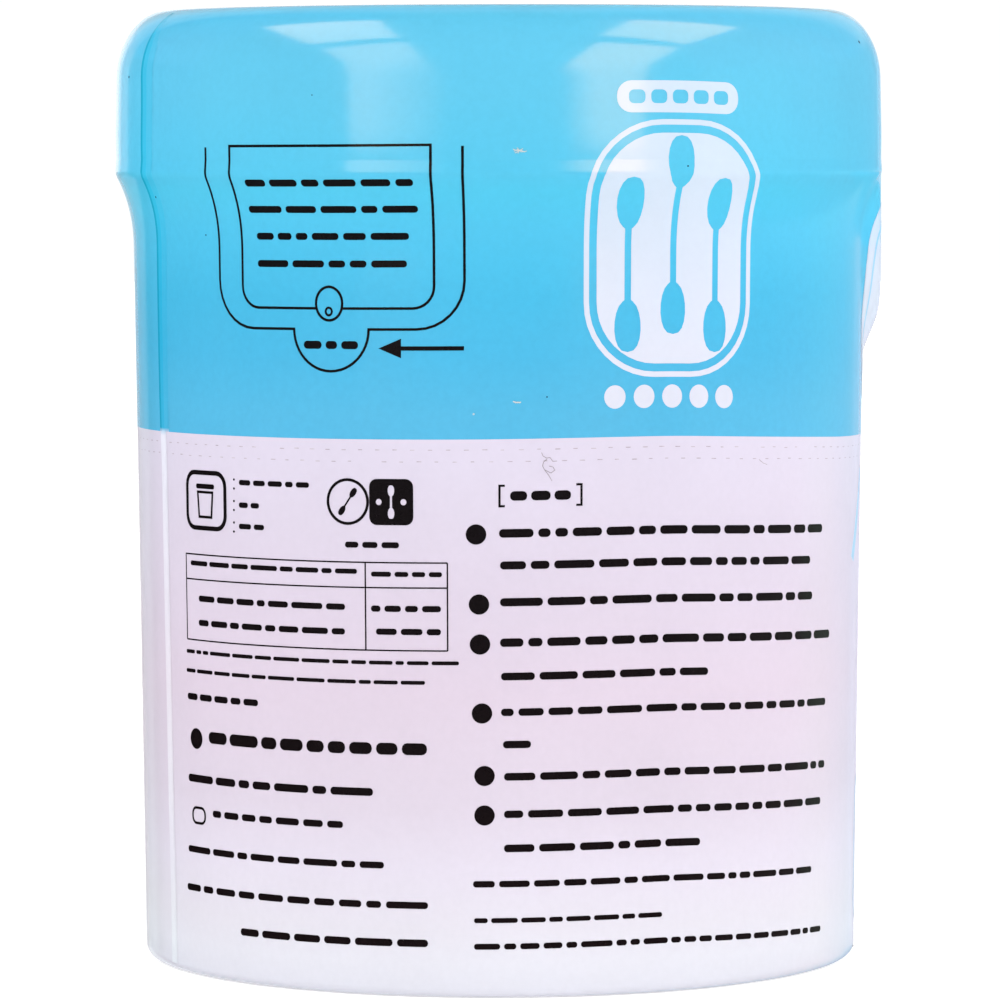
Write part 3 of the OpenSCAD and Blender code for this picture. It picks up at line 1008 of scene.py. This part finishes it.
# The seam's colours: painted shade on the blue, deepest in the narrow edge strip, and a painted highlight streak on the
# lilac, weaker near the foot.
seam_shade_and_highlight_mat = film_material("film_seam", seam_shade_and_highlight_stops((0.46, 0.975, 0.99), (1.16, 1.25, 1.18)), 0.015)
seam_soft_shade_mat = film_material("film_seam_soft_shade", seam_shade_and_highlight_stops((0.76, 0.99, 1.0), (1.0, 1.0, 1.0)), 0.015)
seam_edge_shadow_mat = film_material("film_seam_shadow_edge", seam_shade_and_highlight_stops((0.15, 0.76, 0.77), (1.0, 1.0, 1.0)), 0.03)
film_seam = seam.build("film_seam", seam_shade_and_highlight_mat)
film_seam_soft_shade = seam_soft.build("film_seam_soft_shade", seam_soft_shade_mat)
film_seam_shadow_edge = seam_shadow_line.build("film_seam_shadow_edge", seam_edge_shadow_mat)
print_dark = dark.build("print_dark", ink_dark)
print_pale = pale.build("print_pale", ink_pale)
print_sky = sky.build("print_sky", ink_sky)
perforation = perf.build("perforation", ink_grey)
lint_ob = lint.build("lint", lint_mat)
hair_ob = hair.build("fibres", hair_mat)

for ob in (film, film_seam, film_seam_soft_shade, film_seam_shadow_edge, print_dark, print_pale, print_sky, perforation, lint_ob, hair_ob):
    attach(ob, "root")
for ob in (lid_top, base_plate):
    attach(ob, "root")
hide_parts("sealed_tub")

# ------------------------------------------------------------------ floor, lights and camera
scene = bpy.context.scene
scene.view_settings.view_transform = "Standard"
scene.view_settings.look = "None"
scene.view_settings.exposure = 0.0
scene.view_settings.gamma = 1.0

world = bpy.data.worlds.new("studio")
scene.world = world
world.use_nodes = True
wn = world.node_tree
bg = wn.nodes["Background"]
bg.inputs["Color"].default_value = (1, 1, 1, 1)
bg.inputs["Strength"].default_value = 0.324
bg2 = wn.nodes.new("ShaderNodeBackground")
bg2.inputs["Color"].default_value = (1, 1, 1, 1)
bg2.inputs["Strength"].default_value = 1.02
bg3 = wn.nodes.new("ShaderNodeBackground")
bg3.inputs["Color"].default_value = (1, 1, 1, 1)
bg3.inputs["Strength"].default_value = 0.12
lp = wn.nodes.new("ShaderNodeLightPath")
mix3 = wn.nodes.new("ShaderNodeMixShader")
wn.links.new(lp.outputs["Is Glossy Ray"], mix3.inputs[0])
wn.links.new(bg.outputs[0], mix3.inputs[1])
wn.links.new(bg3.outputs[0], mix3.inputs[2])
mix = wn.nodes.new("ShaderNodeMixShader")
wn.links.new(lp.outputs["Is Camera Ray"], mix.inputs[0])
wn.links.new(mix3.outputs[0], mix.inputs[1])
wn.links.new(bg2.outputs[0], mix.inputs[2])
wn.links.new(mix.outputs[0], wn.nodes["World Output"].inputs["Surface"])


def card(name, corners, strength, fade=None, fade2=None, camera=False, tint=None):
    """A glowing studio card, in metres. fade is (point a, point b, strength at a, strength at b). fade2 is like it, as a factor."""
    mesh = bpy.data.meshes.new(name)
    mesh.from_pydata([tuple(c) for c in corners], [], [tuple(range(len(corners)))])
    m = bpy.data.materials.new(name)
    m.use_nodes = True
    nt = m.node_tree
    nt.nodes.clear()
    em = nt.nodes.new("ShaderNodeEmission")
    out = nt.nodes.new("ShaderNodeOutputMaterial")
    if isinstance(strength, tuple):
        em.inputs["Color"].default_value = (*strength, 1.0)
        strength = 1.0
    if tint is not None:
        em.inputs["Color"].default_value = (*tint, 1.0)
    em.inputs["Strength"].default_value = strength
    steps = []
    for f in (fade, fade2):
        if f:
            a, b, sa, sb = f
            a, b = Vector(a), Vector(b)
            g = nt.nodes.new("ShaderNodeNewGeometry")
            dot = nt.nodes.new("ShaderNodeVectorMath")
            dot.operation = "DOT_PRODUCT"
            d = (b - a)
            dot.inputs[1].default_value = tuple(d / d.length_squared)
            nt.links.new(g.outputs["Position"], dot.inputs[0])
            s0 = a.dot(d) / d.length_squared
            steps.append(maprange(nt, dot.outputs["Value"], s0, s0 + 1.0, sa, sb))
    if len(steps) == 2:
        mul = nt.nodes.new("ShaderNodeMath")
        mul.operation = "MULTIPLY"
        nt.links.new(steps[0], mul.inputs[0])
        nt.links.new(steps[1], mul.inputs[1])
        nt.links.new(mul.outputs[0], em.inputs["Strength"])
    elif steps:
        nt.links.new(steps[0], em.inputs["Strength"])
    nt.links.new(em.outputs[0], out.inputs["Surface"])
    mesh.materials.append(m)
    ob = bpy.data.objects.new(name, mesh)
    scene.collection.objects.link(ob)
    ob.visible_camera = camera
    ob.visible_shadow = False
    return ob


def direction(az, el):
    """Unit vector at an azimuth from -Y toward +X and an elevation, in degrees."""
    a, e = math.radians(az), math.radians(el)
    return Vector((math.sin(a) * math.cos(e), -math.cos(a) * math.cos(e), math.sin(e)))


def at(x, y, z, az, el, dist):
    return Vector((x, y, z)) * MM + direction(az, el) * dist


def box(name, corners, strength, fade=None, fade2=None, tint=(1.0, 1.0, 1.0)):
    """A soft box: a neutral card that lights the part, and a tinted one in the same place that its gloss mirrors."""
    card(name, corners, strength, fade, fade2).visible_glossy = False
    card(name + "_mirrored", corners, strength, fade, fade2, tint=tint).visible_diffuse = False


# overhead soft boxes, left and right
H = 0.55
WARM = {"left": (1.0, 0.64, 0.38), "right": (1.0, 0.52, 0.15)}
for name, pts, s in (("box_over_left", ((-0.565, -0.76), (-0.37, -0.03), (-0.90, 0.22), (-1.325, -0.62)), 4.54),
                     ("box_over_right", ((0.545, -0.67), (0.417, 0.005), (0.975, 0.225), (1.35, -0.66)), 4.6)):
    box(name, [(px * H, py * H, 0.085 + H) for px, py in pts], s, tint=WARM[name.split("_")[-1]])
# front soft boxes, softer toward the middle and toward their lower ends
box("box_front_left", [at(-13, -33, 75, -43.9, -1.5, 0.7), at(-14, -33, 82, -47.2, 17.0, 0.7), at(-15, -31, 84, -58.8, 31.0, 0.7), at(-8, -34, 85, -32.8, 42.8, 0.7),
                       at(-6, -35, 83, -20.5, 13.4, 0.7), at(-6, -35, 75, -15, -1.5, 0.7)], 3.2,
    (at(0, -35, 75, -36.5, 10, 0.7), at(0, -35, 75, -14.5, 2, 0.7), 3.2, 0.2), (at(0, 0, 84, -35, 20, 0.7), at(0, 0, 84, -35, 0, 0.7), 1.12, 0.90), WARM["left"])
box("box_front_right", [at(13, -33, 75, 42.6, -1.5, 0.7), at(13, -33, 82, 45.8, 14.0, 0.7), at(15, -31, 84, 60.8, 31.6, 0.7), at(9, -34, 85, 35.0, 41.6, 0.7),
                        at(6, -35, 83, 21.8, 17.7, 0.7), at(6, -35, 75, 13, -1.5, 0.7)], 4.4,
    (at(0, -35, 75, 26.8, 10, 0.7), at(0, -35, 75, 18.0, 7, 0.7), 4.4, 0.15), (at(0, 0, 84, 35, 20, 0.7), at(0, 0, 84, 35, 0, 0.7), 1.08, 0.88), WARM["right"])
# soft fill from the sides and the back, which the gloss doesn't mirror: (from, to, radiance), in degrees from -Y either way
for i, (a0, a1, s) in enumerate(((62, 100, 0.92), (100, 120, 2.8), (120, 150, 2.8), (150, 180, 0.55))):
    for side in (-1, 1):
        b0, b1 = side * a0, side * a1
        s = 0.72 if (i, side) == (0, 1) else s
        fill = card("fill_%d_%s" % (i, "left" if side < 0 else "right"), [at(0, 0, 0, b0, -0.2, 1.0), at(0, 0, 0, b1, -0.2, 1.0), at(0, 0, 0, b1, 34, 1.25), at(0, 0, 0, b0, 34, 1.25)], s)
        fill.visible_glossy = False
# strips round the tub that only the gloss mirrors: (from, to, radiance high up, at the lid's level, at the wall's level, low down)
STRIPS = [(-60, -100, 0.12, 0.12, 0.05, 0.10), (-100, -120, (0.12, 0.22, 0.45), (0.0, 0.0, 0.15), 0.0, 0.08), (-120, -133, (0.12, 0.30, 0.60), (0.0, 0.05, 0.2), (0.0, 0.05, 0.05), (0.03, 0.10, 0.14)),
          (-133, -140, (0.05, 0.35, 0.60), (0.05, 0.25, 0.38), (0.05, 0.10, 0.10), 0.0), (-140, -146, (0.05, 0.37, 0.65), (0.10, 0.31, 0.46), (0.03, 0.10, 0.07), 0.0),
          (-146, -150, (0.38, 0.65, 0.90), (0.60, 0.78, 0.90), (0.34, 0.45, 0.41), 0.40), (-150, -157, (0.48, 0.70, 0.88), (0.52, 0.64, 0.75), (0.34, 0.42, 0.42), (0.54, 0.63, 0.66)),
          (-157, -162, (0.64, 0.83, 0.98), (1.05, 1.10, 1.14), (0.46, 0.51, 0.50), (0.96, 1.0, 0.98)), (-162, -168, 0.65, (1.25, 1.17, 1.13), 0.58, 0.75), (-168, -174, 0.65, 1.15, 0.85, 1.0),
          (-174, -180, 0.60, 1.50, 1.4, 1.2), (180, 174, 0.60, 1.50, 1.4, 1.2), (174, 168, 0.65, 0.95, 0.95, 0.80),
          (168, 158, (0.64, 0.84, 1.0), (0.50, 0.67, 0.84), (0.66, 0.72, 0.85), (0.20, 0.46, 0.68)), (158, 149, (0.52, 0.73, 0.88), (0.26, 0.47, 0.65), (0.54, 0.68, 0.80), (0.06, 0.38, 0.57)),
          (149, 140, (0.27, 0.49, 0.75), (0.23, 0.39, 0.55), (0.40, 0.55, 0.60), (0.15, 0.34, 0.45)), (140, 130, (0.21, 0.35, 0.59), (0.22, 0.26, 0.35), (0.36, 0.50, 0.55), (0.25, 0.25, 0.30)),
          (130, 110, (0.29, 0.22, 0.40), (0.22, 0.05, 0.05), (0.38, 0.50, 0.42), (0.25, 0.10, 0.10)), (110, 95, (0.40, 0.10, 0.15), (0.32, 0.08, 0.08), 0.36, 0.20), (95, 60, (0.45, 0.15, 0.15), 0.40, 0.30, 0.15)]
LEVELS = (("high", 10, 72, 1.0, 1.6), ("lid", -1.4, 10, 1.0, 1.0), ("wall", -12.5, -1.4, 1.0, 1.0), ("low", -62, -12.5, 1.5, 1.0))
for i, band in enumerate(STRIPS):
    for (level, e0, e1, d0, d1), s in zip(LEVELS, band[2:]):
        strip = card("strip_%02d_%s" % (i, level), [at(0, 0, 75, band[0], e0, d0), at(0, 0, 75, band[1], e0, d0), at(0, 0, 75, band[1], e1, d1), at(0, 0, 75, band[0], e1, d1)], s)
        strip.visible_diffuse = False

# a small blue flag close behind the skirt's lower edge, at the camera's right
card("flag_right", [Vector(p) * MM for p in ((50.5, 1.0, 65.9), (44.0, 26.0, 65.9), (44.0, 26.0, 71.5), (50.5, 1.0, 71.5))], (0.17, 0.54, 0.76)).visible_diffuse = False

floor_mesh = bpy.data.meshes.new("floor")
fm = bmesh.new()
bmesh.ops.create_circle(fm, cap_ends=True, radius=2.6, segments=96)
fm.to_mesh(floor_mesh)
fm.free()
floor_ob = bpy.data.objects.new("floor", floor_mesh)
floor_ob.location.z = -0.00004
scene.collection.objects.link(floor_ob)
fmat, fnt, fbs = material("floor")
fbs.inputs["Base Color"].default_value = (0.80, 0.80, 0.80, 1)
fbs.inputs["Roughness"].default_value = 0.85
fbs.inputs["Specular IOR Level"].default_value = 0.1
fbs.inputs["Emission Color"].default_value = (1, 1, 1, 1)
fvec = coords(fnt)
flen = fnt.nodes.new("ShaderNodeVectorMath")
flen.operation = "LENGTH"
fnt.links.new(fvec, flen.inputs[0])
fnt.links.new(maprange(fnt, flen.outputs["Value"], 0.06, 0.5, 0.36, 1.0), fbs.inputs["Emission Strength"])
floor_mesh.materials.append(fmat)
floor_ob.visible_glossy = False

cam_data = bpy.data.cameras.new("camera")
cam = bpy.data.objects.new("camera", cam_data)
scene.collection.objects.link(cam)
cam_data.sensor_width = 36.0
cam_data.lens = CAM_F * 36.0 / 1000.0
cam_data.clip_start, cam_data.clip_end = 0.05, 20.0
cam.matrix_world = Matrix.Translation((CAM_X * MM, -CAM_D * MM, CAM_Z * MM)) @ Matrix.Rotation(math.radians(90) - CAM_PITCH, 4, "X") @ Matrix.Rotation(-CAM_ROLL, 4, "Z")
scene.camera = cam
